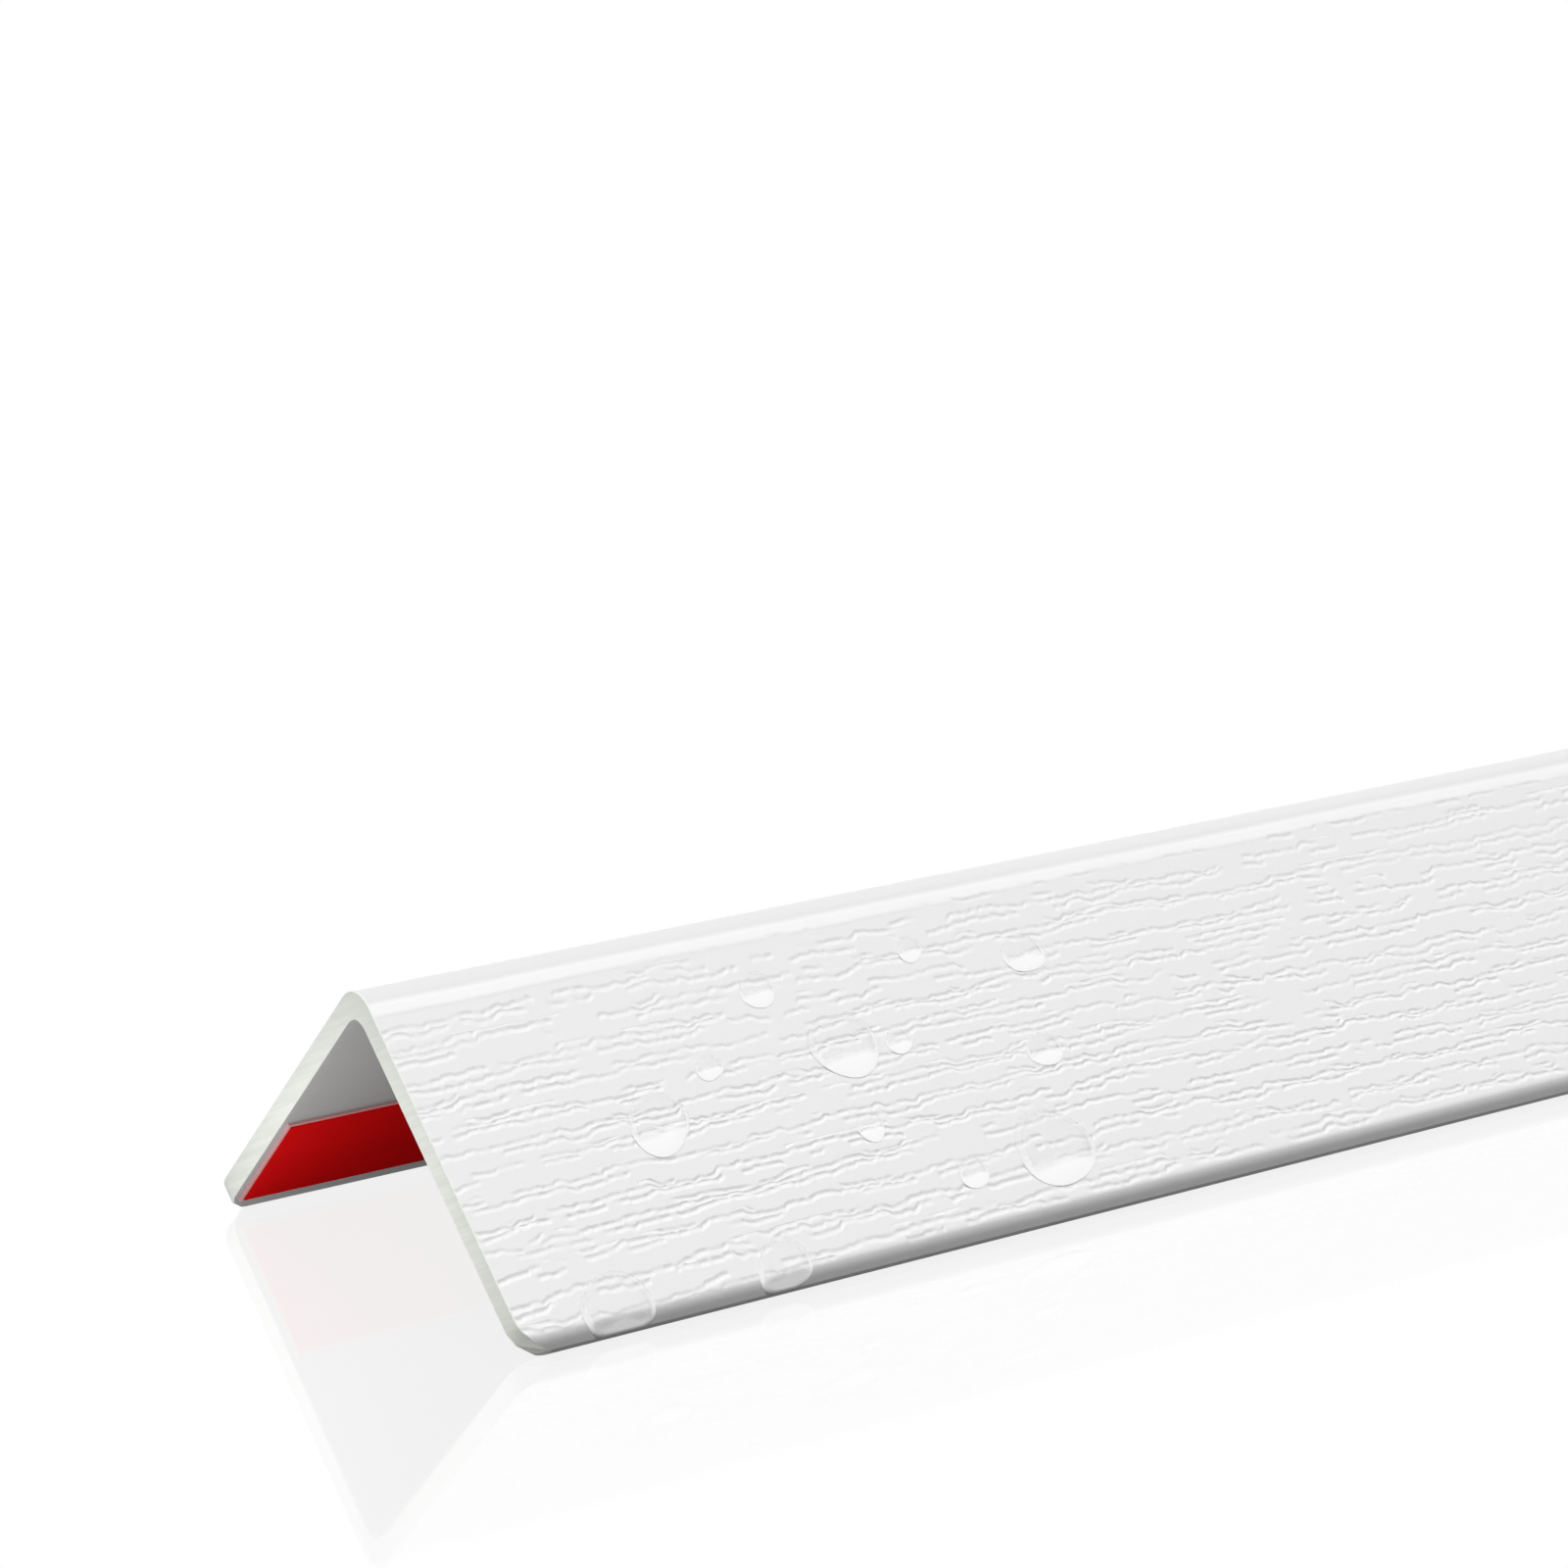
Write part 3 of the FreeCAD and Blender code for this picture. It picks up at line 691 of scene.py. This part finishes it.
def drop_reach(number, down, width, angle):
    """How far a drop reaches from its middle, at an angle from straight down the leg."""
    ragged = sum(size * math.sin(waves * angle + turn * number)
                 for size, waves, turn in DROP_WAVES)
    slanted = angle - math.pi / 2 - DROP_SLANT
    oval = math.hypot(math.cos(slanted) / DROP_STRETCH, math.sin(slanted) * DROP_STRETCH)
    reach = (1 + ragged) * width / 2 / oval
    if down + reach * math.cos(angle) > WATER_EDGE:
        reach = (WATER_EDGE - down) / math.cos(angle)
    return reach


def drop_ring(number, share):
    """One ring of a drop, at that share of its reach: places, normals, heights and marks."""
    down, from_end, width = DROPS[number]
    for spoke in range(DROP_SPOKES if share else 1):
        angle = 2 * math.pi * spoke / DROP_SPOKES
        reach = drop_reach(number, down, width, angle)
        place, normal = down_the_face(down + share * reach * math.cos(angle),
                                      from_end + share * reach * math.sin(angle))
        sag = 1 + DROP_SAG * share * math.cos(angle)
        height = width * DROP_HEIGHT * sag * (1 - share ** 2)
        room = (place.y - GUARD_LOW.y) / -normal.y - SKIN_IN / 4
        low = share * math.cos(angle) - DROP_FILLED * (width - SMALLEST_DROP)
        yield place, normal, min(height, room), (share, low)


def water_drops():
    """The drops, each a flat dome that sags a little and bites under the grain.

    None stands out past the foremost line of the edge roll, and the two at the edge hang
    round it.
    """
    shape = bmesh.new()
    marks = []
    shares = [math.sin(math.radians(90) * i / DROP_RINGS) for i in range(DROP_RINGS + 1)]
    for number in range(len(DROPS)):
        rings = []
        for share in shares:
            ring = list(drop_ring(number, share))
            rings.append([shape.verts.new((p + n * h) * MM) for p, n, h, mark in ring])
            marks += [mark for p, n, h, mark in ring]
        foot = [shape.verts.new((p - n * (GRAIN_DEPTH + DROP_FOOT)) * MM)
                for p, n, h, mark in ring]
        marks += marks[-DROP_SPOKES:]
        rings.append(foot)
        for spoke in range(DROP_SPOKES):
            after = (spoke + 1) % DROP_SPOKES
            shape.faces.new((rings[0][0], rings[1][spoke], rings[1][after]))
            for inner, outer in zip(rings[1:], rings[2:]):
                shape.faces.new((inner[spoke], outer[spoke], outer[after], inner[after]))
        shape.faces.new(reversed(foot))
    bmesh.ops.recalc_face_normals(shape, faces=shape.faces)
    for face in shape.faces:
        face.smooth = len(face.verts) < 5    # all but the foot
    mesh = bpy.data.meshes.new("water_drops")
    shape.to_mesh(mesh)
    shape.free()
    for name, values in zip(("to_rim", "down"), zip(*marks)):
        mesh.attributes.new(name, "FLOAT", "POINT").data.foreach_set("value", values)
    mesh.materials.append(still_water())
    piece = bpy.data.objects.new("water_drops", mesh)
    piece.visible_shadow = False     # clear water hardly dims the white under it
    bpy.context.scene.collection.objects.link(piece)
    return piece


guard_nodes = guard_tree(embossed_pvc(), smooth_pvc(), cut_pvc())
guard = made_by("embossed_guard", *guard_nodes)
guard.data.set_sharp_from_angle(angle=SHARP_ANGLE)
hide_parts("corner_profile")
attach(guard, "root")
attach(water_drops(), "root")
for name, finish in (("adhesive_tape", acrylic_adhesive()), ("release_liner", release_film())):
    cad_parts[name].data.materials.clear()
    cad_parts[name].data.materials.append(finish)


def seen_directly(tree):
    """1 for what the camera sees, also in a mirror or through water, and 0 otherwise."""
    ray = add(tree, "ShaderNodeLightPath").outputs
    seen = add(tree, "ShaderNodeMath", ray["Is Camera Ray"], ray["Is Glossy Ray"],
               operation="MAXIMUM")
    return add(tree, "ShaderNodeMath", seen, ray["Is Transmission Ray"], operation="MAXIMUM")


def sky():
    """An even white sky, which lights the object less than it shows."""
    world = bpy.data.worlds.new("studio")
    world.use_nodes = True
    bpy.context.scene.world = world
    tree = world.node_tree
    tree.nodes.clear()
    strength = add(tree, "ShaderNodeMix", seen_directly(tree), data_type="FLOAT",
                   A=SKY_LIGHT, B=1.0)
    backdrop = add(tree, "ShaderNodeBackground", linear("#FFFFFF"), strength)
    add(tree, "ShaderNodeOutputWorld", backdrop)


def studio_floor():
    """A polished white floor that keeps a faint shadow and a faint reflection."""
    material, tree = new_material("studio_floor")
    node = partial(add, tree)
    seen = seen_directly(tree)
    colour = node("ShaderNodeMix", seen, data_type="RGBA",
                  A=linear("#8A8A8A"), B=linear("#F6F6F6"))
    matt = node("ShaderNodeBsdfDiffuse", Color=colour.outputs["Result"])
    polish = node("ShaderNodeBsdfGlossy", linear("#FFFFFF"), 0.05)
    polished = node("ShaderNodeMath", seen, FLOOR_POLISHED, operation="MULTIPLY")
    whitened = node("ShaderNodeMath", seen, FLOOR_WHITENED, operation="MULTIPLY")
    floor_skin = node("ShaderNodeMixShader", polished, matt, polish)
    white = node("ShaderNodeEmission", linear("#FFFFFF"), 1.0)
    node("ShaderNodeOutputMaterial", node("ShaderNodeMixShader", whitened, floor_skin, white))
    bpy.ops.mesh.primitive_plane_add(size=FLOOR_SIDE * MM, location=(0, 0, 0))
    floor = bpy.context.object
    floor.name = "studio_floor"
    floor.data.materials.append(material)


def hung(lamp, place, towards):
    """Hangs a lamp, which shines down its own -Z, with its back towards a direction."""
    holder = bpy.data.objects.new(lamp.name, lamp)
    holder.location = place
    holder.rotation_euler = towards.to_track_quat("Z", "Y").to_euler()
    bpy.context.scene.collection.objects.link(holder)
    return holder


def lamps():
    """Two very soft lamps, above and to the left, and a small one before each open end."""
    for name, towards, strength, spread in SUNS:
        lamp = bpy.data.lights.new(name, "SUN")
        lamp.energy = strength
        lamp.angle = math.radians(spread)
        hung(lamp, Vector((0, 0, 0)), towards)
    for end in (-1, 1):
        lamp = bpy.data.lights.new("end_fill", "AREA")
        lamp.shape = "RECTANGLE"
        lamp.size, lamp.size_y = END_LAMP_WIDTH * MM, END_LAMP_HEIGHT * MM
        lamp.energy = END_LAMP_WATTS
        place = Vector((end * (HALF_LENGTH + END_LAMP_AWAY), END_LAMP_ASIDE, END_LAMP_UP)) * MM
        holder = hung(lamp, place, Vector((end, 0.0, 0.0)))
        holder.visible_camera = holder.visible_glossy = False


def photographer():
    """The camera, where the photograph was taken from."""
    az, el, roll = (math.radians(v) for v in (CAMERA_AZIMUTH, CAMERA_ELEVATION, CAMERA_ROLL))
    forward = Vector((math.sin(az) * math.cos(el), math.cos(az) * math.cos(el), -math.sin(el)))
    level_right = Vector((math.cos(az), -math.sin(az), 0.0))
    level_down = forward.cross(level_right)
    right = math.cos(roll) * level_right + math.sin(roll) * level_down
    up = right.cross(forward)
    data = bpy.data.cameras.new("photographer")
    data.sensor_width = SENSOR_WIDTH
    data.lens = FOCAL_PIXELS / IMAGE_SIDE * SENSOR_WIDTH
    data.clip_start, data.clip_end = 0.01, 50.0
    camera = bpy.data.objects.new("photographer", data)
    place = (CAMERA_FROM_CUT_END + Vector((-HALF_LENGTH, 0, 0))) * MM
    turn = Matrix((right, up, -forward)).transposed().to_4x4()
    camera.matrix_world = Matrix.Translation(place) @ turn
    bpy.context.scene.collection.objects.link(camera)
    bpy.context.scene.camera = camera


sky()
studio_floor()
lamps()
photographer()
bpy.context.scene.view_settings.view_transform = "Standard"
